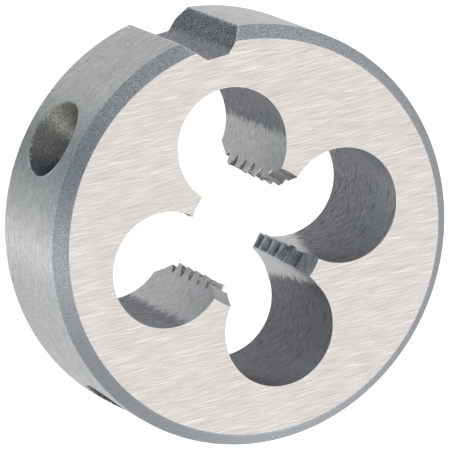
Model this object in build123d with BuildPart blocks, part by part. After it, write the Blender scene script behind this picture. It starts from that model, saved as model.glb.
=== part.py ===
"""Round threading die: a chamfered steel disc with a threaded work bore and four chip holes.

The die is one piece. It lies on its back face: Z is the thread's axis, z = 0 is the back
face, and the adjusting groove in the rim points along +Y. All lengths are in millimetres.
"""

import os
from math import acos, degrees, radians, sin, tan

from build123d import *

# Disc
die_diameter = 25.0
die_thickness = 9.0
rim_chamfer = 0.75

# Right-handed thread that the die cuts. At thread_start above the back face, the middle
# of a thread groove passes the +X side.
thread_diameter = 8.0
thread_pitch = 1.25
flank_angle = 60.0
thread_start = 0.27

# Lead-in cone at each end: how far its mouth stands outside the thread, and its full angle.
# The back one is the deeper.
lead_in_front_margin = 0.3
lead_in_back_margin = 0.45
lead_in_angle = 50.0

# Chip holes, from the wall that they leave at the rim and the narrowest width of the
# lands between them. The pattern is turned a little from the line of the groove.
chip_hole_count = 4
rim_wall = 3.3
land_width = 1.28
chip_hole_turn = 2.6

# Adjusting groove across the rim
groove_depth = 1.4
groove_floor_width = 1.3
groove_angle = 90.0
groove_corner_radius = 0.2

# Conical recesses for the holder's set screws, by their angles to each side of the groove
recess_diameter = 5.15
recess_angle = 90.0
recess_turns = (49.0, 135.0)

# How far a cutter runs past the surface that it cuts
overrun = 0.5

die_radius = die_diameter / 2
half_thickness = die_thickness / 2
groove_direction = 90.0

# Neighbouring chip holes and the land between them share a chord of their pitch circle
land_spacing = 360 / chip_hole_count
chord_share = 2 * sin(radians(land_spacing / 2))
chip_hole_reach = die_radius - rim_wall
chip_hole_radius = (chip_hole_reach - land_width / chord_share) / (1 + 2 / chord_share)
chip_circle_radius = chip_hole_reach - chip_hole_radius
chip_hole_start = groove_direction + chip_hole_turn

# A sharp V of this height is cut back by an eighth at the root and a quarter at the crest
flank_slope = tan(radians(flank_angle / 2))
sharp_height = thread_pitch / (2 * flank_slope)
root_share = 1 / 8
crest_share = 1 / 4
thread_radius = thread_diameter / 2
crest_radius = thread_radius - (1 - root_share - crest_share) * sharp_height
root_width = thread_pitch * root_share

lead_in_slope = tan(radians(lead_in_angle / 2))
front_mouth = thread_radius + lead_in_front_margin
front_depth = (front_mouth - crest_radius) / lead_in_slope
back_mouth = thread_radius + lead_in_back_margin
back_depth = (back_mouth - crest_radius) / lead_in_slope

# Thread cutter: the V groove along a short piece of the helix, which crosses one land and
# ends well inside the chip hole on each side of it
bore_corner = acos(
    (crest_radius**2 + chip_circle_radius**2 - chip_hole_radius**2)
    / (2 * crest_radius * chip_circle_radius)
)
cutter_arc = land_spacing - degrees(bore_corner)
cutter_rise = thread_pitch * cutter_arc / 360
cutter_top = crest_radius - overrun
cutter_mouth = root_width + 2 * (thread_radius - cutter_top) * flank_slope

with BuildPart() as thread_cutter:
    with BuildLine() as thread_path:
        Helix(thread_pitch, cutter_rise, thread_radius)
    with BuildSketch(Plane.XZ):
        with BuildLine():
            Polyline(
                (cutter_top, -cutter_mouth / 2),
                (thread_radius, -root_width / 2),
                (thread_radius, root_width / 2),
                (cutter_top, cutter_mouth / 2),
                close=True,
            )
        make_face()
    sweep(path=thread_path.line, is_frenet=True)

# On each land the grooves stand one pitch apart, and from land to land they climb with
# the helix. They begin a pitch below the back face and end a pitch above the front face.
thread_places = []
for land in range(chip_hole_count):
    land_turn = chip_hole_start + land_spacing / 2 + land * land_spacing
    cutter_turn = land_turn - cutter_arc / 2
    cutter_height = (thread_start + thread_pitch * cutter_turn / 360) % thread_pitch - thread_pitch
    while cutter_height < die_thickness + thread_pitch:
        thread_places.append(Location((0, 0, cutter_height), (0, 0, cutter_turn)))
        cutter_height += thread_pitch

# Set screw recess: a cone whose mouth is measured on the rim
recess_slope = tan(radians(recess_angle / 2))
cone_radius = recess_diameter / 2 + overrun * recess_slope
cone_height = cone_radius / recess_slope
recess_places = []
for recess_turn in recess_turns:
    for side in (-1, 1):
        direction = Rotation(0, 0, groove_direction + side * recess_turn)
        recess_places.append(direction * Location((die_radius + overrun, 0, half_thickness), (0, -90, 0)))

with BuildPart() as threading_die:
    # Disc, bore and lead-in cones, turned in one profile
    with BuildSketch(Plane.XZ):
        with BuildLine():
            Polyline(
                (back_mouth, 0),
                (die_radius - rim_chamfer, 0),
                (die_radius, rim_chamfer),
                (die_radius, die_thickness - rim_chamfer),
                (die_radius - rim_chamfer, die_thickness),
                (front_mouth, die_thickness),
                (crest_radius, die_thickness - front_depth),
                (crest_radius, back_depth),
                close=True,
            )
        make_face()
    revolve(axis=Axis.Z)

    # Chip holes, which break into the bore and leave the cutting lands between them
    with BuildSketch():
        with PolarLocations(chip_circle_radius, chip_hole_count, start_angle=chip_hole_start):
            Circle(chip_hole_radius)
    extrude(amount=die_thickness, mode=Mode.SUBTRACT)

    # Adjusting groove, from its floor out past the rim
    groove_floor = die_radius - groove_depth
    groove_mouth = groove_floor_width + 2 * (groove_depth + overrun) * tan(radians(groove_angle / 2))
    with BuildSketch():
        with BuildLine():
            Polyline(
                (-groove_mouth / 2, die_radius + overrun),
                (-groove_floor_width / 2, groove_floor),
                (groove_floor_width / 2, groove_floor),
                (groove_mouth / 2, die_radius + overrun),
                close=True,
            )
        groove_outline = make_face()
        fillet(groove_outline.vertices().group_by(Axis.Y)[0], radius=groove_corner_radius)
    extrude(amount=die_thickness, mode=Mode.SUBTRACT)

    # Set screw recesses, at half height on both sides of the groove
    with Locations(*recess_places):
        Cone(
            bottom_radius=cone_radius,
            top_radius=0,
            height=cone_height,
            align=(Align.CENTER, Align.CENTER, Align.MIN),
            mode=Mode.SUBTRACT,
        )

    # Thread, cut last across the finished lands
    with Locations(*thread_places):
        add(thread_cutter.part, mode=Mode.SUBTRACT)

threading_die.part.label = "threading_die"
os.makedirs("parts", exist_ok=True)
export_step(threading_die.part, "parts/threading_die.step")
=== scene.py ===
"""Looks of a round threading die, built around its CAD model.

The row frame is kept: Z is the thread's axis, z = 0 the back face, and the adjusting groove
points along +Y. Right is +X, left is -X, and far is -Y, across from the groove. Lengths are
in millimetres until the surfaces are joined, and in metres from there on.
"""

import bpy
import numpy as np
from mathutils import Matrix, Vector


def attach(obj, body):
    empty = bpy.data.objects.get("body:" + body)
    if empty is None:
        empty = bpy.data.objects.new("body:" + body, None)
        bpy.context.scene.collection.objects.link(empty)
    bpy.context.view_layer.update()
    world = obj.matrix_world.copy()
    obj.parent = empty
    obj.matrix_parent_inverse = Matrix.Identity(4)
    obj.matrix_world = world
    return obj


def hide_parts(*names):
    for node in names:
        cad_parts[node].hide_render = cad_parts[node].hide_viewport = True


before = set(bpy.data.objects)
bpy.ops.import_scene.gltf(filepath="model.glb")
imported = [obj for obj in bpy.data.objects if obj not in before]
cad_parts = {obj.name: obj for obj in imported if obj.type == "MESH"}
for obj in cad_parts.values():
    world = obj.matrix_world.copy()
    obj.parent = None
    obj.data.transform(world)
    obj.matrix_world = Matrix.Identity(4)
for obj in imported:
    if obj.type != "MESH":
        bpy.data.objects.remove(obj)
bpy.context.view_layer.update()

# Bore and chip holes. Hardened tool steel, drilled through in four places round the bore, which
# leaves four lands. Each carries the thread, one pitch a turn, and a lead-in cone at each face.
# A small wheel has ground the chip holes' walls beside the lands, up to the cutting edges.
thickness = 9.0
pitch = 1.25
thread_start = 0.27
root_radius = 4.0
root_half = pitch / 16
crest_radius = 3.3234
flank_slope = np.tan(np.radians(30.0))
front_mouth = 4.3
back_mouth = 4.45
mouth_slope = np.tan(np.radians(25.0))
hole_count = 4
hole_radius = 3.43586
hole_circle = 5.76414
edge_break = 0.03

# Holes in the order right, groove, left, far, right again. The ground zones are given for
# the side of the land before each hole and after it: the angle where they begin at the back
# and at the front, and how fast the cut deepens from there, in millimetres a radian.
order = [0, 1, 2, 3, 0]
hole_turns = np.radians([2.6, 92.6, 182.6, 272.6, 362.6])
zone_back = np.radians([[90, 97], [99, 97], [97, 94], [97, 97]])[order]
zone_front = np.radians([[130, 97], [99, 97], [97, 94], [97, 120]])[order]
zone_rate = np.array([[0.12, 0.06], [0.06, 0.06], [0.06, 0.06], [0.06, 0.5]])[order]

# Steps of the grid, over a land from edge to edge and round a chip hole's wall. The wall has
# even steps out to its limit, and finer ones from there to its corner with the land.
land_steps = np.linspace(0, 1, 11)
wall_limit = np.radians(124.0)
wall_corner = np.radians(133.3)
corner_steps = np.linspace(0, 1, 6)
wall_turns = np.linspace(-wall_limit, wall_limit, 63)
nominal_wall = np.concatenate(
    [
        -wall_corner + corner_steps[:-1] * (wall_corner - wall_limit),
        wall_turns,
        wall_limit + corner_steps[1:] * (wall_corner - wall_limit),
    ]
)
land_cells = len(land_steps) - 1
wall_cells = len(nominal_wall) - 1
edge_guess = 0.5
edge_rounds = 12
lead_margin = 0.02


def lead_in(height):
    """Radius of the lead-in cones at a height, the larger of the two. A cone's radius is its
    mouth's, less its slope times the depth under its face."""
    front = front_mouth - mouth_slope * (thickness - height)
    back = back_mouth - mouth_slope * height
    return np.maximum(front, back)


def bore_radius(turn, height):
    """Radius of the bore at an angle and a height: the largest of the crest, the lead-in
    cones, and the thread groove, whose depth falls off along its flanks from a flat root that
    climbs one pitch a turn."""
    climb = height - thread_start - pitch * turn / (2 * np.pi)
    off = np.abs((climb + pitch / 2) % pitch - pitch / 2)
    groove = root_radius - np.maximum(off - root_half, 0) / flank_slope
    return np.maximum(np.maximum(groove, crest_radius), lead_in(height))


def ring_height(turn, level, low, high):
    """Height of a ring of the bore at an angle: its level, climbing one pitch a turn, and held
    between a lowest and a highest height."""
    return np.clip(level + pitch * turn / (2 * np.pi), low, high)


def ground_zone(swing, height, holes, side):
    """Angle by which a point of a chip hole's wall lies past the border of a ground zone, and
    the depth of the cut there, which grows evenly from the border. The border runs straight
    from its angle at the back to its angle at the front."""
    share = height / thickness
    border = zone_back[holes, side] * (1 - share) + zone_front[holes, side] * share
    past = np.abs(swing) - border
    return past, zone_rate[holes, side] * np.maximum(past, 0)


def land_edge(holes, side, level, low, high, inset):
    """Angle about the axis, and about the hole's centre, of the edge at which a ring passes
    from a chip hole to the land before it (side 0) or after it (side 1). Axis, hole centre
    and edge make a triangle, and the cosine rule gives its angles. The bore's radius and the
    cut of the ground zone depend on them again, so the rule is applied a number of rounds,
    from a guess."""
    away = 2 * side - 1
    turn, swing = hole_turns[holes] + away * edge_guess, wall_corner
    for _ in range(edge_rounds):
        height = ring_height(turn, level, low, high)
        radius = bore_radius(turn, height) + inset
        reach = hole_radius + inset + ground_zone(swing, height, holes, side)[1]
        cosine = (radius**2 + hole_circle**2 - reach**2) / (2 * radius * hole_circle)
        turn = hole_turns[holes] + away * np.arccos(cosine)
        cosine = (hole_circle**2 + reach**2 - radius**2) / (2 * hole_circle * reach)
        swing = np.pi - np.arccos(cosine)
    return turn, away * swing


def bore_rings(level, low, high, inset):
    """Rings round the opening, one a row, through land and chip hole in turn. A land's point
    stands at the bore's radius; a chip hole's point stands at the hole's radius from the
    hole's centre, and in a ground zone deeper by its cut. All radii grow by the inset, which
    rounds the edges at the faces. Also gives each point's run along the tool marks and across
    them, and on a wall how far it lies past the border of the ground zone. On a land that
    number is the lead margin on the lead-in cone, and falls below nought away from it."""
    level, low, high, inset = (np.asarray(v, float)[:, None] for v in (level, low, high, inset))
    first = np.arange(hole_count)
    second = first + 1
    limits = (level, low, high, inset)
    after, _ = land_edge(first, 1, *limits)
    before, start = land_edge(second, 0, *limits)
    beyond, end = land_edge(second, 1, *limits)
    level, low, high, inset = (v[:, :, None] for v in limits)

    turn = after[..., None] + land_steps * (before - after)[..., None]
    height = ring_height(turn, level, low, high)
    radius = bore_radius(turn, height) + inset
    land = np.stack([radius * np.cos(turn), radius * np.sin(turn), height], -1)
    land_marks = np.stack([turn * root_radius, height], -1)
    lead = lead_in(height) + inset - radius + lead_margin

    start, end = start[..., None], end[..., None]
    wide = np.broadcast_to(wall_turns, start.shape[:2] + wall_turns.shape)
    swing = np.concatenate(
        [
            start - corner_steps[:-1] * (start + wall_limit),
            wide,
            wall_limit + corner_steps[1:] * (end - wall_limit),
        ],
        -1,
    )
    share = (nominal_wall + wall_corner) / (2 * wall_corner)
    turn = before[..., None] + share * (beyond - before)[..., None]
    height = ring_height(turn, level, low, high)
    zones = [ground_zone(swing, height, second[:, None], side) for side in (0, 1)]
    past, cut = (np.where(swing < 0, a, b) for a, b in zip(*zones))
    centre = hole_turns[second][:, None]
    reach = hole_radius + inset + cut
    wall = np.stack(
        [
            hole_circle * np.cos(centre) + reach * np.cos(centre + swing),
            hole_circle * np.sin(centre) + reach * np.sin(centre + swing),
            height,
        ],
        -1,
    )
    wall_marks = np.stack([(centre + swing) * hole_radius, height], -1)

    def joined(on_land, on_wall):
        """Land and wall of each quarter in turn, in one row that ends where it began."""
        ring = np.concatenate([on_land[:, :, :-1], on_wall[:, :, :-1]], 2)
        ring = ring.reshape(ring.shape[0], -1, ring.shape[-1])
        return np.concatenate([ring, on_wall[:, -1, -1:]], 1)

    ground = joined(lead[..., None], (past * hole_radius)[..., None])
    return joined(land, wall), joined(land_marks, wall_marks), ground[..., 0]


crest_half = root_half + (root_radius - crest_radius) * flank_slope
groove_levels = np.concatenate(
    [
        np.linspace(-pitch / 2, -crest_half, 3)[:-1],
        np.linspace(-crest_half, -root_half, 8),
        [0.0],
        np.linspace(root_half, crest_half, 8),
        np.linspace(crest_half, pitch / 2, 3)[1:-1],
    ]
)
turns_of_thread = np.arange(-2, 10)
levels = thread_start + (groove_levels + pitch * turns_of_thread[:, None]).ravel()
round_turns = np.radians(np.linspace(90, 0, 5))
round_rows = len(round_turns)
round_heights = edge_break * (1 - np.sin(round_turns))
round_insets = edge_break * (1 - np.cos(round_turns))
low = np.concatenate(
    [round_heights, np.full(len(levels), edge_break), thickness - round_heights[::-1]]
)
high = np.concatenate(
    [round_heights, np.full(len(levels), thickness - edge_break), thickness - round_heights[::-1]]
)
level = np.concatenate([np.zeros(round_rows), levels, np.zeros(round_rows)])
inset = np.concatenate([round_insets, np.zeros(len(levels)), round_insets[::-1]])
bore, bore_marks, bore_ground = bore_rings(level, low, high, inset)

# Worn places: the crests' edges, the cutting edges and the edges at the faces
crest_wear = 0.4
cutting_wear = 0.9
face_edge_wear = 0.7
ring_cells = bore.shape[1] - 1
is_land = np.arange(ring_cells) % (land_cells + wall_cells) < land_cells
bore_wear = np.zeros(bore.shape[:2])
crest_edge = np.isclose(np.abs(groove_levels), crest_half)
crest_rows = round_rows + np.flatnonzero(np.tile(crest_edge, len(turns_of_thread)))
bore_wear[np.ix_(crest_rows, np.flatnonzero(is_land))] = crest_wear
bore_wear[:, np.flatnonzero(is_land != np.roll(is_land, 1))] = cutting_wear
bore_wear[:, -1] = bore_wear[:, 0]
bore_wear[inset > 0] = face_edge_wear

# The surfaces are laid side by side as grids, and joined at the end into one closed skin.
skin = []
finishes = []


def lay(points, marks, wear, finish, ground=None, keep=None):
    """Adds a grid to the skin: its points, each with its run along and across the marks, its
    wear and its place in the ground zones, the number of each cell's finish, and which cells
    are kept."""
    cells = (points.shape[0] - 1, points.shape[1] - 1)
    ground = np.zeros(points.shape[:2]) if ground is None else ground
    keep = np.ones(cells, bool) if keep is None else keep
    skin.append((points, marks, wear, ground, np.broadcast_to(finish, cells), keep))


def node(tree, kind, inputs=None, out=0, **settings):
    """Adds a shader node with its settings. Each input is linked, if it is given an output of
    another node, or set. Gives back one of the node's outputs."""
    made = tree.nodes.new(kind if kind.startswith("Node") else "ShaderNode" + kind)
    for label, value in settings.items():
        setattr(made, label, value)
    for label, value in (inputs or {}).items():
        if isinstance(value, bpy.types.NodeSocket):
            tree.links.new(value, made.inputs[label])
        else:
            made.inputs[label].default_value = value
    return made.outputs[out] if out is not None else made


def mixed(tree, share, low, high):
    """Colour between two colours, by a share from 0 to 1."""
    low, high = (v if isinstance(v, bpy.types.NodeSocket) else (*v, 1) for v in (low, high))
    return node(tree, "Mix", {0: share, 6: low, 7: high}, out=2, data_type="RGBA")


def stretched(tree, value, low, high, to_low=0.0, to_high=1.0):
    """Value moved from one range to another and held inside it."""
    inputs = {0: value, 1: low, 2: high, 3: to_low, 4: to_high}
    return node(tree, "MapRange", inputs)


def combined(tree, operation, first, second, third=0.0):
    """Result of an operation on two or three numbers."""
    return node(tree, "Math", {0: first, 1: second, 2: third}, operation=operation)


def tinted(tree, colour, share, most, tint):
    """Colour with a tint over it, as strong as a share times the most it may be."""
    return mixed(tree, combined(tree, "MULTIPLY", share, most), colour, tint)


def effect(name, inputs, outputs):
    """An empty node group with named sockets. Gives back its tree, what goes in and the node
    that takes what comes out."""
    tree = bpy.data.node_groups.new(name, "ShaderNodeTree")
    for way, sockets in (("INPUT", inputs), ("OUTPUT", outputs)):
        for label, kind in sockets.items():
            tree.interface.new_socket(label, in_out=way, socket_type="NodeSocket" + kind)
    given = node(tree, "NodeGroupInput", out=None).outputs
    return tree, given, node(tree, "NodeGroupOutput", out=None)


# Most values of a noise lie in this range.
noise_range = (0.3, 0.7)

# Tool marks: noise drawn out along the marks, and a few deeper scratches among them
tool_marks, given, taken = effect(
    "tool_marks",
    {"Position": "Vector", "Marks per mm": "Vector", "Seed": "Float"},
    {"Marks": "Float", "Scratches": "Float"},
)
drawn = node(
    tool_marks, "VectorMath", {0: given["Position"], 1: given["Marks per mm"]}, operation="MULTIPLY"
)
fine = node(
    tool_marks,
    "TexNoise",
    {"Vector": drawn, "W": given["Seed"], "Scale": 1.0, "Detail": 2.0, "Roughness": 0.6},
    noise_dimensions="4D",
)
tool_marks.links.new(stretched(tool_marks, fine, *noise_range), taken.inputs["Marks"])
other_seed = combined(tool_marks, "ADD", given["Seed"], 11.0)
deep = node(
    tool_marks,
    "TexNoise",
    {"Vector": drawn, "W": other_seed, "Scale": 0.8, "Detail": 2.0, "Roughness": 0.6},
    noise_dimensions="4D",
)
tool_marks.links.new(stretched(tool_marks, deep, 0.58, 0.68), taken.inputs["Scratches"])

# Grain: the fine matte speckle of hardened steel that hasn't been ground
grain, given, taken = effect(
    "grain", {"Position": "Vector", "Grains per mm": "Float"}, {"Grain": "Float", "Sparks": "Float"}
)
fine = node(
    grain,
    "TexNoise",
    {"Vector": given["Position"], "Scale": given["Grains per mm"], "Detail": 1.0, "Roughness": 0.6},
)
grain.links.new(stretched(grain, fine, *noise_range), taken.inputs["Grain"])
spark_scale = combined(grain, "MULTIPLY", given["Grains per mm"], 1.1)
spark = node(
    grain, "TexNoise", {"Vector": given["Position"], "Scale": spark_scale, "Detail": 0.0}
)
grain.links.new(stretched(grain, spark, 0.64, 0.74), taken.inputs["Sparks"])

# Edge wear: where the wear attribute is high, broken up by noise
edge_wear, given, taken = effect("edge_wear", {"Position": "Vector"}, {"Wear": "Float"})
worn = node(edge_wear, "Attribute", out=2, attribute_name="wear")
chips = node(edge_wear, "TexNoise", {"Vector": given["Position"], "Scale": 7.0, "Detail": 3.0})
chips = combined(edge_wear, "MULTIPLY_ADD", chips, 0.9, worn)
edge_wear.links.new(stretched(edge_wear, chips, 0.95, 1.35), taken.inputs["Wear"])


mm_in_metre = 1000.0


def bare_steel(name, anisotropy):
    """A new metallic finish, with its highlights drawn out across the tool marks. Gives back
    the material's tree, its shader and positions on the die in millimetres."""
    material = bpy.data.materials.new(name)
    material.use_nodes = True
    finishes.append(material)
    tree = material.node_tree
    shader = tree.nodes["Principled BSDF"]
    shader.inputs["Metallic"].default_value = 1.0
    shader.inputs["Anisotropic"].default_value = anisotropy
    shader.inputs["Anisotropic Rotation"].default_value = 0.25
    tangent = node(tree, "Tangent", direction_type="UV_MAP", uv_map="marks")
    tree.links.new(tangent, shader.inputs["Tangent"])
    place = node(tree, "TexCoord", out=3)
    position = node(tree, "VectorMath", {0: place, "Scale": mm_in_metre}, operation="SCALE")
    return tree, shader, position


def shared(tree, group, inputs):
    """Places a shared effect in a material, and gives back its outputs."""
    return node(tree, "Group", inputs, out=None, node_tree=group).outputs


def surface(tree, shader, colour, rough, height, depth):
    """Links a finish's colour, roughness and the height of its relief to the shader."""
    tree.links.new(colour, shader.inputs["Base Color"])
    tree.links.new(rough, shader.inputs["Roughness"])
    bump = node(tree, "Bump", {"Strength": 1.0, "Distance": depth, "Height": height})
    tree.links.new(bump, shader.inputs["Normal"])


# Chip hole walls: dark from drilling and hardening, with marks that climb round the hole, a
# little lighter towards the front and on the right hole's outer wall with painted light, darker
# in the far hole, and bright where the wheel has passed, brighter still beside the land between
# those two
drill_climb = np.radians(24.0)
chip_wall = len(finishes)
tree, shader, position = bare_steel("chip_wall", 0.5)
run = node(tree, "UVMap", uv_map="marks")
run = node(tree, "Mapping", {"Vector": run, "Rotation": (0.0, 0.0, -drill_climb)})
cut = shared(tree, tool_marks, {"Position": run, "Marks per mm": (2.0, 14.0, 1.0), "Seed": 1.0})
slow = shared(tree, tool_marks, {"Position": run, "Marks per mm": (0.8, 4.5, 1.0), "Seed": 2.0})
speckle = shared(tree, grain, {"Position": position, "Grains per mm": 10.0})
wear = shared(tree, edge_wear, {"Position": position})["Wear"]
past = node(tree, "Attribute", out=2, attribute_name="ground")
ragged = combined(tree, "MULTIPLY_ADD", cut["Marks"], 0.5, past)
ragged = combined(tree, "MULTIPLY_ADD", slow["Marks"], 0.55, ragged)
ragged = combined(tree, "MULTIPLY_ADD", speckle["Grain"], 0.2, ragged)
zone = stretched(tree, ragged, 0.48, 0.86)
dark = mixed(tree, cut["Marks"], (0.08, 0.09, 0.10), (0.48, 0.50, 0.52))
axes = node(tree, "SeparateXYZ", {"Vector": position}, out=None).outputs
# Painted light: the dark wall grows lighter towards the front face
front = stretched(tree, axes["Z"], 4.0, thickness)
dark = tinted(tree, dark, front, 0.4, (0.42, 0.44, 0.46))
# Painted light on the right hole's outer wall, strongest towards the front
outwards = stretched(tree, axes["X"], 5.0, 8.0)
lit_right_wall = combined(tree, "MULTIPLY", outwards, stretched(tree, axes["Y"], -1.0, 2.5))
lit_right_wall = combined(tree, "MULTIPLY", lit_right_wall, stretched(tree, front, 0.0, 1.0, 0.1, 0.6))
dark = mixed(tree, lit_right_wall, dark, (0.68, 0.70, 0.72))
dark = mixed(tree, stretched(tree, axes["Y"], -3.0, -8.0, 0.0, 0.5), dark, (0.14, 0.15, 0.16))
dark = tinted(tree, dark, slow["Scratches"], 0.7, (0.12, 0.13, 0.14))
dark = tinted(tree, dark, cut["Scratches"], 0.35, (0.58, 0.60, 0.62))
bright = mixed(tree, cut["Marks"], (0.36, 0.38, 0.39), (0.90, 0.92, 0.93))
# Lighter towards the land between the right hole and the far one
lighter_way = (0.7, -0.7, 0.0)
lighter_share = node(tree, "VectorMath", {0: position, 1: lighter_way}, out=1, operation="DOT_PRODUCT")
bright = mixed(tree, stretched(tree, lighter_share, 2.0, 4.0, 0.0, 0.6), bright, (1.0, 1.0, 1.0))
bright = tinted(tree, bright, speckle["Grain"], 0.4, (0.44, 0.46, 0.47))
colour = mixed(tree, zone, dark, bright)
colour = mixed(tree, wear, colour, (0.72, 0.72, 0.72))
rough = stretched(tree, zone, 0.0, 1.0, 0.48, 0.36)
height = combined(tree, "MULTIPLY_ADD", speckle["Grain"], 0.6, cut["Marks"])
surface(tree, shader, colour, rough, height, 6e-6)

# Thread and lands: cut steel, with fine lines along the thread, bright crest edges, and a dark
# skin from hardening deep in the thread, which painted shade makes darker still. The lead-in
# between the left hole and the far one is lighter than the others, with a painted highlight.
cutting_land = len(finishes)
tree, shader, position = bare_steel("cutting_land", 0.4)
cut = shared(
    tree, tool_marks, {"Position": position, "Marks per mm": (1.6, 1.6, 11.0), "Seed": 5.0}
)
slow = shared(
    tree, tool_marks, {"Position": position, "Marks per mm": (0.9, 0.9, 2.2), "Seed": 6.0}
)
wear = shared(tree, edge_wear, {"Position": position})["Wear"]
speckle = shared(tree, grain, {"Position": position, "Grains per mm": 9.0})
lead = stretched(tree, node(tree, "Attribute", out=2, attribute_name="ground"), 0.005, 0.015)
across = node(tree, "VectorMath", {0: position, 1: (1.0, 1.0, 0.0)}, operation="MULTIPLY")
across = node(tree, "VectorMath", {0: across}, out=1, operation="LENGTH")
# Dark hardening skin and painted shade: darker the deeper a point lies in the thread
deep = stretched(tree, across, crest_radius + 0.05, crest_radius + 0.55, 0.0, 0.7)
colour = mixed(tree, cut["Marks"], (0.14, 0.145, 0.15), (0.54, 0.55, 0.57))
colour = mixed(tree, deep, colour, (0.06, 0.055, 0.055))
ground_lead = mixed(tree, cut["Marks"], (0.38, 0.39, 0.40), (0.95, 0.95, 0.95))
# Painted highlight on the lead-in between the left hole and the far one
lighter_way = (-0.7, -0.7, 0.0)
lighter_share = node(tree, "VectorMath", {0: position, 1: lighter_way}, out=1, operation="DOT_PRODUCT")
ground_lead = mixed(tree, stretched(tree, lighter_share, 2.0, 3.2, 0.0, 0.85), ground_lead, (1.0, 1.0, 1.0))
ground_lead = mixed(tree, slow["Scratches"], ground_lead, (0.25, 0.26, 0.27))
colour = mixed(tree, lead, colour, ground_lead)
colour = tinted(tree, colour, speckle["Sparks"], 0.45, (0.78, 0.79, 0.80))
colour = mixed(tree, wear, colour, (0.75, 0.75, 0.75))
rough = stretched(tree, cut["Marks"], 0.0, 1.0, 0.42, 0.30)
surface(tree, shader, colour, rough, cut["Marks"], 6e-6)

bore_finish = np.tile(np.where(is_land, cutting_land, chip_wall), (len(bore) - 1, 1))

# Rim, chamfers and adjusting groove. The blank is turned and its rim ground; the groove takes
# the pointed middle screw of the holder. Its walls stand at 45 degrees on a narrow floor.
# The chamfers end in a narrow ridge, which the grinding of the faces has left.

# The rim's radius is a micrometre less than the solid's, so that the skin stays inside its box.
rim_radius = 12.499
rim_chamfer = 0.75
ridge_place = 0.12
ridge_height = 0.01
groove_turn = np.radians(90.0)
groove_floor = 11.1
groove_half = 0.65
groove_fillet = 0.2
rim_break = 0.05
mouth_points = 4

# On the rim, the points of each chip hole's wall fan out to this angle on either side. At the
# groove's hole, the groove takes those from one of the two numbers to the other.
fan = np.radians(43.0)
groove_cells = (21, 47)
groove_start, groove_end = (land_cells + c for c in groove_cells)


def groove_outline(radius, inset):
    """Half of the groove's outline from the rim to the middle of its floor, as a distance to
    the side and one outwards: an edge break round the corner with the rim circle, the
    straight wall, the fillet and half the floor. Each is set back by the inset."""
    radius, inset = radius[:, None], inset[:, None]
    wall_line = groove_floor - groove_half
    rim = radius - rim_break
    lean = (wall_line - np.sqrt(2) * (inset + rim_break)) / (np.sqrt(2) * rim)
    turn = np.arccos(lean) - np.pi / 4
    swing = turn + np.linspace(0, 1, mouth_points) * (-np.pi / 4 - turn)
    corner = [
        rim * np.sin(turn) + rim_break * np.sin(swing),
        rim * np.cos(turn) + rim_break * np.cos(swing),
    ]
    middle = groove_floor + groove_fillet
    side = middle - wall_line - np.sqrt(2) * groove_fillet
    swing = np.linspace(np.pi / 4, 0, 5)
    fillet = [
        side + (groove_fillet + inset) * np.sin(swing),
        middle - (groove_fillet + inset) * np.cos(swing),
    ]
    share = np.linspace(0, 1, 5)[1:-1]
    wall = [a[:, -1:] + share * (b[:, :1] - a[:, -1:]) for a, b in zip(corner, fillet)]
    floor = [fillet[0][:, -1:] * np.array([0.5, 0.0]), fillet[1][:, -1:] + np.zeros(2)]
    outline = [np.concatenate(parts, 1) for parts in zip(corner, wall, fillet, floor)]
    return outline[0], outline[1], turn[:, 0]


def rim_rings(radius, height, inset):
    """Rings round the outside, one a row, with as many points as a ring of the bore. A point
    stands on the circle of its row's radius, at an angle that fans out from the bore's ring,
    apart from the points of the groove, which follow its outline."""
    radius, height, inset = (np.asarray(v, float) for v in (radius, height, inset))
    side, out, corner = groove_outline(radius, inset)
    rows = len(radius)
    parts = []
    for k in range(hole_count):
        hole = hole_turns[k + 1]
        steps = hole_turns[k] + fan + land_steps[:-1] * (np.pi / 2 - 2 * fan)
        parts.append(np.broadcast_to(steps, (rows, land_cells)))
        if k:
            steps = hole + fan * nominal_wall[:-1] / wall_corner
            parts.append(np.broadcast_to(steps, (rows, wall_cells)))
            continue
        start, end = groove_cells
        share = (nominal_wall[:start] + wall_corner) / (nominal_wall[start] + wall_corner)
        from_turn, to_turn = hole - fan, groove_turn - corner[:, None]
        parts.append(from_turn + share * (to_turn - from_turn))
        parts.append(np.zeros((rows, end - start)))
        share = (nominal_wall[end:-1] - nominal_wall[end]) / (wall_corner - nominal_wall[end])
        from_turn, to_turn = groove_turn + corner[:, None], hole + fan
        parts.append(from_turn + share * (to_turn - from_turn))
    turn = np.concatenate(parts, 1)
    turn = np.concatenate([turn, turn[:, :1] + 2 * np.pi], 1)
    x, y = radius[:, None] * np.cos(turn), radius[:, None] * np.sin(turn)
    groove = slice(groove_start, groove_end + 1)
    x[:, groove] = np.concatenate([side, -side[:, -2::-1]], 1)
    y[:, groove] = np.concatenate([out, out[:, -2::-1]], 1)
    turn[:, groove] = np.arctan2(y, x)[:, groove]
    z = np.broadcast_to(height[:, None], x.shape)
    return np.stack([x, y, z], -1), np.stack([turn * rim_radius, z], -1)


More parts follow.
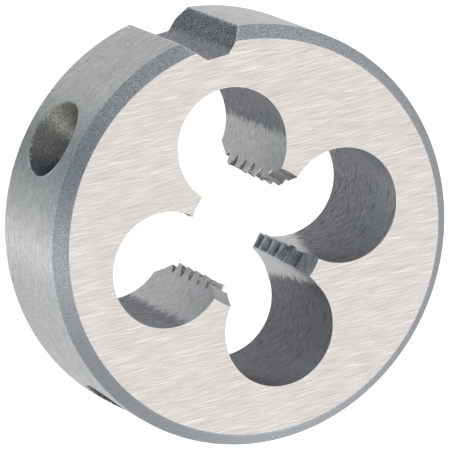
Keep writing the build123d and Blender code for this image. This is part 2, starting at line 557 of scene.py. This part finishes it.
# Profile of the rim from the front face down: edge break, chamfer with its ridge, edge break,
# the straight rim, and the same again at the back
eighth = np.radians(22.5)
break_turns = np.radians([90.0, 75.0, 60.0, 45.0])
break_rows = len(break_turns)
face_radius = rim_radius - rim_chamfer - rim_break * np.tan(eighth)
shoulder = rim_chamfer + rim_break * np.tan(eighth)
chamfer_down = np.array([0.027, 0.06, 0.10, ridge_place, 0.14, 0.25, 0.4, 0.55, 0.68])
proud = np.interp(chamfer_down, [0.04, ridge_place, 0.55], [0.0, ridge_height, 0.0])
profile_down = np.concatenate(
    [
        rim_break * (1 - np.sin(break_turns)),
        chamfer_down,
        shoulder - rim_break * np.sin(break_turns - break_turns[-1]),
    ]
)
profile_out = np.concatenate(
    [
        face_radius + rim_break * np.cos(break_turns),
        rim_radius - rim_chamfer + chamfer_down + proud,
        rim_radius - rim_break * (1 - np.cos(break_turns - break_turns[-1])),
    ]
)
straight = np.linspace(shoulder, thickness - shoulder, 26)[1:-1]
rim_down = np.concatenate([profile_down, straight, thickness - profile_down[::-1]])
rim_out = np.concatenate([profile_out, np.full(len(straight), rim_radius), profile_out[::-1]])
face_gap = np.minimum(rim_down, thickness - rim_down)
rim_inset = edge_break - np.sqrt(
    np.maximum(edge_break**2 - np.maximum(edge_break - face_gap, 0) ** 2, 0)
)
rim, rim_marks = rim_rings(rim_out, thickness - rim_down, rim_inset)

# Worn places: both edges of each chamfer, its ridge, and the mouth of the groove
chamfer_edge_wear = 0.7
ridge_wear = 0.65
mouth_wear = 0.75
profile_wear = np.zeros(len(rim))
profile_wear[:break_rows] = chamfer_edge_wear
profile_wear[len(profile_down) - break_rows : len(profile_down)] = chamfer_edge_wear
profile_wear[break_rows + np.argmax(proud)] = ridge_wear
profile_wear = np.maximum(profile_wear, profile_wear[::-1])
rim_wear = np.repeat(profile_wear[:, None], ring_cells + 1, 1)
rim_wear[:, groove_start : groove_end + 1] = 0.0
rim_wear[:, groove_start : groove_start + mouth_points] = mouth_wear
rim_wear[:, groove_end + 1 - mouth_points : groove_end + 1] = mouth_wear

# Chamfers: turned before hardening, matte, dark, and finely speckled near the groove
chamfer = len(finishes)
tree, shader, position = bare_steel("chamfer", 0.2)
cut = shared(tree, tool_marks, {"Position": position, "Marks per mm": (1.2, 1.2, 9.0), "Seed": 8.0})
speckle = shared(tree, grain, {"Position": position, "Grains per mm": 12.0})
wear = shared(tree, edge_wear, {"Position": position})["Wear"]
colour = mixed(tree, speckle["Grain"], (0.19, 0.21, 0.23), (0.53, 0.55, 0.57))
colour = tinted(tree, colour, speckle["Sparks"], 0.8, (0.60, 0.62, 0.64))
towards_groove = node(tree, "SeparateXYZ", {"Vector": position}, out=1)
smooth = stretched(tree, towards_groove, 10.0, -4.0, 0.1, 0.75)
colour = mixed(tree, smooth, colour, (0.36, 0.38, 0.40))
colour = tinted(tree, colour, cut["Marks"], 0.3, (0.25, 0.27, 0.29))
colour = mixed(tree, wear, colour, (0.66, 0.67, 0.68))
rough = stretched(tree, speckle["Grain"], 0.0, 1.0, 0.52, 0.40)
surface(tree, shader, colour, rough, speckle["Grain"], 5e-6)

# Groove: milled before hardening, darker still, with coarse light grains, and rubbed lighter on
# its floor by the holder's screw
milled_groove = len(finishes)
tree, shader, position = bare_steel("milled_groove", 0.0)
speckle = shared(tree, grain, {"Position": position, "Grains per mm": 12.0})
cut = shared(
    tree, tool_marks, {"Position": position, "Marks per mm": (3.0, 3.0, 1.2), "Seed": 10.0}
)
wear = shared(tree, edge_wear, {"Position": position})["Wear"]
colour = mixed(tree, speckle["Grain"], (0.02, 0.03, 0.035), (0.225, 0.255, 0.27))
outwards = node(tree, "SeparateXYZ", {"Vector": position}, out=1)
rubbed = stretched(tree, outwards, groove_floor + 0.3, groove_floor + 0.05, 0.0, 0.36)
colour = mixed(tree, rubbed, colour, (0.46, 0.48, 0.49))
colour = tinted(tree, colour, cut["Scratches"], 0.6, (0.09, 0.10, 0.11))
colour = tinted(tree, colour, speckle["Sparks"], 0.8, (0.62, 0.65, 0.67))
colour = mixed(tree, wear, colour, (0.60, 0.62, 0.63))
rough = stretched(tree, speckle["Grain"], 0.0, 1.0, 0.50, 0.36)
surface(tree, shader, colour, rough, speckle["Grain"], 1e-5)

# Rim: ground round, satin, with hair-fine marks round the die
ground_rim = len(finishes)
tree, shader, position = bare_steel("ground_rim", 1.0)
cut = shared(
    tree, tool_marks, {"Position": position, "Marks per mm": (1.6, 1.6, 11.0), "Seed": 3.0}
)
slow = shared(
    tree, tool_marks, {"Position": position, "Marks per mm": (0.12, 0.12, 1.2), "Seed": 4.0}
)
speckle = shared(tree, grain, {"Position": position, "Grains per mm": 9.0})
wear = shared(tree, edge_wear, {"Position": position})["Wear"]
colour = mixed(tree, cut["Marks"], (0.52, 0.525, 0.52), (0.90, 0.905, 0.90))
colour = tinted(tree, colour, slow["Marks"], 0.25, (0.50, 0.52, 0.53))
colour = tinted(tree, colour, speckle["Grain"], 0.6, (0.40, 0.41, 0.41))
colour = mixed(tree, wear, colour, (0.76, 0.76, 0.76))
rough = stretched(tree, cut["Marks"], 0.0, 1.0, 0.50, 0.42)
surface(tree, shader, colour, rough, cut["Marks"], 4e-6)

rim_finish = np.full((len(rim) - 1, ring_cells), chamfer)
rim_finish[len(profile_down) - 1 : len(rim) - len(profile_down)] = ground_rim
rim_finish[:, groove_start:groove_end] = milled_groove

# Set screw recesses: four cones drilled into the rim at half height, for the pointed screws
# that hold the die in its stock. The drill has left them dark and rough, and painted shade
# darkens them further away from the groove.

# The apex is how far the cone's tip lies from the die's axis. The reach is how far a recess's
# window in the rim's grid spreads from its middle.
recess_turns = np.radians([41.0, 139.0, 225.0, 315.0])
recess_apex = 9.925
recess_break = 0.03
recess_reach = 2.95
recess_wear = 0.56
ring_radius = 1.5
apron_shares = (0.15, 0.5, 1)


def recess_surface(window, turn):
    """Recess and the rim round it, out to a window in the rim's grid. Round the recess's axis,
    each point stands at a distance from it: on the cone, the depth equals that distance; on
    the rim, the depth follows the rim's circle; a curve with its middle on the sharp edge
    rounds the two off."""
    along = window @ np.array([-np.sin(turn), np.cos(turn), 0.0])
    up = window[:, 2] - thickness / 2
    swing = np.arctan2(up, along)
    far = np.hypot(along, up)
    bend = 1 + np.cos(swing) ** 2
    mouth = np.sqrt(recess_apex**2 - bend * (recess_apex**2 - rim_radius**2)) - recess_apex
    mouth = mouth / bend

    def at(distance, depth):
        """Points at a distance from the axis, round it, and a depth along it."""
        return np.stack([distance * np.cos(swing), distance * np.sin(swing), depth], -1)

    def on_rim(distance):
        """Points of the rim: the depth is the other side of a triangle with the radius."""
        return at(distance, np.sqrt(rim_radius**2 - (distance * np.cos(swing)) ** 2))

    def on_cone(distance):
        """Points of the cone: the depth grows from the tip by the distance."""
        return at(distance, recess_apex + distance)

    inner, edge = on_cone(mouth - recess_break), on_cone(mouth)
    outer = on_rim(mouth + recess_break)
    cone_shares = np.concatenate([[0, 0.02], np.linspace(0.125, 0.875, 7)])
    cone = [on_cone((mouth - recess_break) * s) for s in cone_shares]
    shares = np.linspace(0, 1, 5)
    rounding = [(1 - s) ** 2 * inner + 2 * s * (1 - s) * edge + s**2 * outer for s in shares]
    beyond = far - mouth - recess_break
    apron = [on_rim(mouth + recess_break + beyond * s) for s in apron_shares]
    local = np.stack(cone + rounding + apron)
    x = local[..., 2] * np.cos(turn) - local[..., 0] * np.sin(turn)
    y = local[..., 2] * np.sin(turn) + local[..., 0] * np.cos(turn)
    points = np.stack([x, y, local[..., 1] + thickness / 2], -1)
    ring = np.broadcast_to(swing * ring_radius, points.shape[:2])
    marks = np.stack([ring, np.hypot(local[..., 0], local[..., 1])], -1)
    rim_run = np.stack([np.arctan2(y, x) * rim_radius, points[..., 2]], -1)
    edge_end = len(cone + rounding)
    marks[edge_end - 1 :] = rim_run[edge_end - 1 :]
    wear = np.zeros(points.shape[:2])
    wear[len(cone) : edge_end] = recess_wear
    return points, marks, wear


# Drilled and hardened steel, matte and speckled, with rings of the drill's lips. The heat has
# tinted it brown towards the groove, and away from it painted shade darkens it to blue-black.
recess = len(finishes)
tree, shader, position = bare_steel("recess", 0.0)
run = node(tree, "UVMap", uv_map="marks")
rings = shared(tree, tool_marks, {"Position": run, "Marks per mm": (0.3, 5.0, 1.0), "Seed": 9.0})
speckle = shared(tree, grain, {"Position": position, "Grains per mm": 11.0})
wear = shared(tree, edge_wear, {"Position": position})["Wear"]
cloud = node(tree, "TexNoise", {"Vector": position, "Scale": 0.8, "Detail": 3.0})
towards_groove = node(tree, "SeparateXYZ", {"Vector": position}, out=1)
# Brown temper colour towards the groove, painted shade in blue-black away from it
temper_and_shade = stretched(tree, combined(tree, "MULTIPLY_ADD", cloud, 0.7, towards_groove), 6.7, 8.4)
brown = mixed(tree, speckle["Grain"], (0.16, 0.15, 0.135), (0.36, 0.345, 0.32))
brown = mixed(tree, speckle["Sparks"], brown, (0.42, 0.39, 0.33))
shaded_blue = mixed(tree, speckle["Grain"], (0.025, 0.033, 0.037), (0.095, 0.115, 0.125))
colour = mixed(tree, temper_and_shade, shaded_blue, brown)
colour = tinted(tree, colour, rings["Marks"], 0.3, (0.08, 0.085, 0.09))
colour = mixed(tree, wear, colour, (0.70, 0.72, 0.73))
rough = stretched(tree, speckle["Grain"], 0.0, 1.0, 0.50, 0.38)
surface(tree, shader, colour, rough, speckle["Grain"], 6e-6)

# Each recess takes the place of a window of cells in the rim's grid, and meets its border.
keep = np.ones((len(rim) - 1, ring_cells), bool)
middle_ring = rim[len(rim) // 2, :-1]
rim_turn = np.arctan2(middle_ring[:, 1], middle_ring[:, 0])
for turn in recess_turns:
    off_axis = (rim_turn - turn + np.pi) % (2 * np.pi) - np.pi
    columns = np.flatnonzero(np.abs(off_axis) * rim_radius < recess_reach)
    columns = columns[np.argsort(off_axis[columns])]
    rows = np.flatnonzero(np.abs(rim_down - thickness / 2) < recess_reach)
    top, bottom, left, right = rows[0], rows[-1], columns[0], columns[-1]
    keep[np.ix_(rows[:-1], columns[:-1])] = False
    window = np.concatenate(
        [
            rim[bottom:top:-1, right],
            rim[top, columns[:0:-1]],
            rim[top:bottom, left],
            rim[bottom, columns],
        ]
    )
    points, marks, wear = recess_surface(window, turn)
    finish = np.full((points.shape[0] - 1, points.shape[1] - 1), recess)
    finish[-len(apron_shares) :] = ground_rim
    lay(points, marks, wear, finish)
lay(rim, rim_marks, rim_wear, rim_finish, keep=keep)

# Faces. Both are ground flat on a surface grinder after hardening, so they carry straight
# scratches from side to side, and their edges are only just broken.
collar = np.array([edge_break, 0.08, 0.16, 0.3])
scratch_turn = np.radians(-2.0)
cross_turn = np.radians(9.0)
beside_edge_wear = 0.3


def face_surface(height):
    """One face from the opening out to the rim: straight lines from the opening's ring to the
    rim's ring, with narrow collars that follow both edges."""
    flat = np.full(len(collar), height)
    inner, _, _ = bore_rings(np.zeros(len(collar)), flat, flat, collar)
    outer, _ = rim_rings(face_radius - (collar[::-1] - edge_break), flat, collar[::-1])
    share = np.linspace(0, 1, 6)[1:-1, None, None]
    between = inner[-1] + share * (outer[0] - inner[-1])
    points = np.concatenate([inner, between, outer])
    along = np.array([np.cos(scratch_turn), np.sin(scratch_turn)])
    across = np.array([-along[1], along[0]])
    marks = np.stack([points[..., :2] @ along, points[..., :2] @ across], -1)
    wear = np.zeros(len(points))
    wear[[0, -1]] = face_edge_wear
    wear[[1, -2]] = beside_edge_wear
    return points, marks, np.repeat(wear[:, None], points.shape[1], 1)


# Ground steel, bright and warm, its scratches lighter and darker than the ground between
ground_face = len(finishes)
tree, shader, position = bare_steel("ground_face", 0.5)
run = node(tree, "UVMap", uv_map="marks")
crossed = node(tree, "Mapping", {"Vector": run, "Rotation": (0.0, 0.0, cross_turn)})
lines = shared(tree, tool_marks, {"Position": run, "Marks per mm": (0.5, 15.0, 1.0), "Seed": 0.0})
bands = shared(tree, tool_marks, {"Position": run, "Marks per mm": (0.12, 1.6, 1.0), "Seed": 4.5})
stray = shared(
    tree, tool_marks, {"Position": crossed, "Marks per mm": (0.5, 15.0, 1.0), "Seed": 2.5}
)
wear = shared(tree, edge_wear, {"Position": position})["Wear"]
speckle = shared(tree, grain, {"Position": position, "Grains per mm": 13.0})
colour = mixed(tree, lines["Marks"], (0.60, 0.56, 0.535), (0.97, 0.92, 0.875))
colour = tinted(tree, colour, bands["Marks"], 0.2, (0.62, 0.61, 0.60))
colour = tinted(tree, colour, speckle["Grain"], 0.4, (0.52, 0.50, 0.48))
colour = tinted(tree, colour, stray["Scratches"], 0.6, (0.97, 0.96, 0.95))
colour = tinted(tree, colour, lines["Scratches"], 0.7, (0.98, 0.97, 0.95))
colour = mixed(tree, wear, colour, (0.85, 0.85, 0.84))
rough = stretched(tree, lines["Marks"], 0.0, 1.0, 0.40, 0.30)
surface(tree, shader, colour, rough, lines["Marks"], 3e-6)

front_face, front_marks, face_wear = face_surface(thickness)
back_face, back_marks, _ = face_surface(0.0)
lay(front_face, front_marks, face_wear, ground_face)
lay(back_face[::-1], back_marks[::-1], face_wear, ground_face)
bore_finish[: round_rows - 1] = ground_face
bore_finish[1 - round_rows :] = ground_face
lay(bore, bore_marks, bore_wear, bore_finish, ground=bore_ground)


# The whole die. Every surface above belongs to one solid piece of steel, so they are joined
# into one closed skin, which takes the place of the plain solid.
merge_steps = 1e4
merge_offset = 0.137
sharp_angle = np.radians(28.0)


def join_skin(name):
    """One mesh of all the grids. Points in the same ten-thousandth of a millimetre become one,
    and an offset keeps round sizes off the borders between these steps. A cell with two
    points alike becomes a triangle, and one with fewer than three is left out."""
    points = np.concatenate([g[0].reshape(-1, 3) for g in skin])
    marks = np.concatenate([g[1].reshape(-1, 2) for g in skin])
    wear = np.concatenate([g[2].ravel() for g in skin])
    ground = np.concatenate([g[3].ravel() for g in skin])
    corners, finish, base = [], [], 0
    for grid, _, _, _, cell_finish, keep in skin:
        index = base + np.arange(grid.shape[0] * grid.shape[1]).reshape(grid.shape[:2])
        cells = np.stack([index[:-1, :-1], index[1:, :-1], index[1:, 1:], index[:-1, 1:]], -1)
        corners.append(cells[keep])
        finish.append(cell_finish[keep])
        base += index.size
    corners, finish = np.concatenate(corners), np.concatenate(finish)
    keys = np.floor(points * merge_steps + merge_offset).astype(np.int64)
    _, first, merged = np.unique(keys, axis=0, return_index=True, return_inverse=True)
    merged = merged.ravel()
    at = merged[corners]
    distinct = at != np.roll(at, 1, axis=1)
    real = distinct.sum(1) >= 3
    corners, finish, distinct = corners[real], finish[real], distinct[real]
    sizes = distinct.sum(1)
    loops = corners[distinct]
    used, vertices = np.unique(merged[loops], return_inverse=True)
    mesh = bpy.data.meshes.new(name)
    mesh.vertices.add(len(used))
    co = (points[first[used]] / mm_in_metre).astype(np.float32)
    mesh.vertices.foreach_set("co", co.ravel())
    mesh.loops.add(len(loops))
    mesh.loops.foreach_set("vertex_index", vertices.ravel().astype(np.int32))
    mesh.polygons.add(len(sizes))
    starts = np.concatenate([[0], np.cumsum(sizes)[:-1]])
    mesh.polygons.foreach_set("loop_start", starts.astype(np.int32))
    mesh.polygons.foreach_set("material_index", finish.astype(np.int32))
    mesh.update(calc_edges=True)
    uv = mesh.uv_layers.new(name="marks")
    uv.data.foreach_set("uv", marks[loops].astype(np.float32).ravel())
    for label, values in (("wear", wear), ("ground", ground)):
        attribute = mesh.attributes.new(label, "FLOAT", "CORNER")
        attribute.data.foreach_set("value", values[loops].astype(np.float32))
    mesh.validate()
    mesh.polygons.foreach_set("use_smooth", np.ones(len(mesh.polygons), bool))
    mesh.set_sharp_from_angle(angle=sharp_angle)
    return mesh


die_mesh = join_skin("round_die")
for material in finishes:
    die_mesh.materials.append(material)
die = bpy.data.objects.new("round_die", die_mesh)
bpy.context.scene.collection.objects.link(die)
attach(die, "root")
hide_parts("threading_die")

# Studio: a plain pale floor, which the camera sees as white, in a tent of white cloth that
# lights the die softly from all round. The tent is open, and so dark, on the camera's side.
scene = bpy.context.scene
scene.view_settings.view_transform = "Standard"
floor_half = 2.0
floor_drop = 1e-5
floor_glow = 0.6
white_glow = 1.08

# Wedges of the floor's glow that are darker or lighter, two painted shadows of the die and a
# painted pool of light, which the die sees in its reflections: the direction of each and the
# half angles between which it fades, in degrees, the distances between which it grows, and its
# change
painted_floor_shade_and_light = [
    (142.0, 4.0, 24.0, 0.010, 0.014, -0.24),
    (95.0, 25.0, 50.0, 0.018, 0.026, -0.15),
    (222.0, 10.0, 35.0, 0.010, 0.014, 0.14),
]
floor_mesh = bpy.data.meshes.new("floor")
corner_signs = [(-1, -1), (1, -1), (1, 1), (-1, 1)]
floor_corners = [(x * floor_half, y * floor_half, 0) for x, y in corner_signs]
floor_mesh.from_pydata(floor_corners, [], [(0, 1, 2, 3)])
floor = bpy.data.objects.new("floor", floor_mesh)
scene.collection.objects.link(floor)
floor.location.z = -floor_drop


def aside(tree, place, turn, least):
    """How far a place lies to the side of a direction over the floor, for each unit along it,
    and how far it lies along it. Both are dot products, and what it is divided by is held
    above the least."""
    towards = (np.cos(turn), np.sin(turn), 0.0)
    beside = (-towards[1], towards[0], 0.0)
    front = node(tree, "VectorMath", {0: place, 1: towards}, out=1, operation="DOT_PRODUCT")
    side = node(tree, "VectorMath", {0: place, 1: beside}, out=1, operation="DOT_PRODUCT")
    side = combined(tree, "ABSOLUTE", side, 0.0)
    held = combined(tree, "MAXIMUM", front, least)
    return combined(tree, "DIVIDE", side, held), front


floor_paint = bpy.data.materials.new("floor_paint")
floor_paint.use_nodes = True
tree = floor_paint.node_tree
shader = tree.nodes["Principled BSDF"]
shader.inputs["Base Color"].default_value = (0.2, 0.2, 0.2, 1)
shader.inputs["Roughness"].default_value = 0.9
shader.inputs["Specular IOR Level"].default_value = 0.0
shader.inputs["Emission Color"].default_value = (1, 1, 1, 1)
place = node(tree, "TexCoord", out=3)
glow = floor_glow
# Each wedge paints shadow or light into the glow that the die's reflections see
for turn, inner, outer, near, far, change in painted_floor_shade_and_light:
    away, front = aside(tree, place, np.radians(turn), 1e-6)
    wedge = stretched(tree, away, *np.tan(np.radians([inner, outer])), 1.0, 0.0)
    wedge = combined(tree, "MULTIPLY", wedge, stretched(tree, front, near, far))
    glow = combined(tree, "MULTIPLY_ADD", wedge, change, glow)
seen = node(tree, "LightPath")
glow = combined(tree, "MAXIMUM", glow, combined(tree, "MULTIPLY", seen, white_glow))
tree.links.new(glow, shader.inputs["Emission Strength"])
floor_mesh.materials.append(floor_paint)

# The tent, and two places of it that are dimmer: the direction of each, its height and the
# half angle where it ends, in degrees, and the share of the light that it takes
tent_light = 1.0
opening_light = 0.2
opening_turn = np.radians(144.0)
opening_tangents = np.tan(np.radians([6.0, 28.0]))
dim_core = 6.0
dim_places = [(92.0, 20.0, 34.0, 0.36), (230.0, 12.0, 32.0, 0.45)]
world = bpy.data.worlds.new("studio")
scene.world = world
world.use_nodes = True
tree = world.node_tree
way = node(tree, "TexCoord")
away, _ = aside(tree, way, opening_turn, 1e-4)
glow = stretched(tree, away, *opening_tangents, opening_light, tent_light)
for turn, rise, reach, share in dim_places:
    turn, rise = np.radians(turn), np.radians(rise)
    dim_way = (np.cos(rise) * np.cos(turn), np.cos(rise) * np.sin(turn), np.sin(rise))
    near = node(tree, "VectorMath", {0: way, 1: dim_way}, out=1, operation="DOT_PRODUCT")
    fade = np.cos(np.radians([reach, dim_core]))
    dim = stretched(tree, near, *fade, 1.0, 1 - share)
    glow = combined(tree, "MULTIPLY", glow, dim)
tree.links.new(glow, tree.nodes["Background"].inputs["Strength"])
tint = mixed(tree, stretched(tree, away, *opening_tangents), (0.75, 1.0, 1.12), (1, 1, 1))
tree.links.new(tint, tree.nodes["Background"].inputs["Color"])


def soft_light(name, turn, rise, far, width, height, power, colour):
    """A flat soft light that faces the die, by its direction, distance, size and power."""
    lamp = bpy.data.lights.new(name, "AREA")
    lamp.shape = "RECTANGLE"
    lamp.size, lamp.size_y = width, height
    lamp.energy = power
    lamp.color = colour
    turn, rise = np.radians(turn), np.radians(rise)
    way = Vector((np.cos(turn) * np.cos(rise), np.sin(turn) * np.cos(rise), np.sin(rise)))
    placed = bpy.data.objects.new(name, lamp)
    turned = way.to_track_quat("Z", "Y").to_matrix().to_4x4()
    placed.matrix_world = Matrix.Translation(way * far) @ turned
    scene.collection.objects.link(placed)


soft_light("left_light", 182.0, 8.0, 0.4, 0.09, 0.2, 0.11, (1.0, 0.99, 0.97))
soft_light("far_light", 290.0, 6.0, 0.4, 0.25, 0.12, 0.19, (0.98, 0.99, 1.0))

# The camera stands high over the die, to the left of it and on the groove's side, and looks at
# its middle. Its axes and place were fitted to the outline of the die.
camera_right = (0.89716, -0.19856, 0.39457)
camera_down = (-0.28623, -0.94169, 0.17692)
camera_ahead = (0.33643, -0.27166, -0.90167)
camera_place = (-0.119097, 0.09608, 0.323561)
camera = bpy.data.objects.new("camera", bpy.data.cameras.new("camera"))
scene.collection.objects.link(camera)
camera_rows = [
    (right, -down, -ahead, place)
    for right, down, ahead, place in zip(camera_right, camera_down, camera_ahead, camera_place)
]
camera.matrix_world = Matrix([*camera_rows, (0, 0, 0, 1)])
camera.data.lens = 480
camera.data.sensor_width = 36
camera.data.clip_start = 0.01
camera.data.clip_end = 50
scene.camera = camera
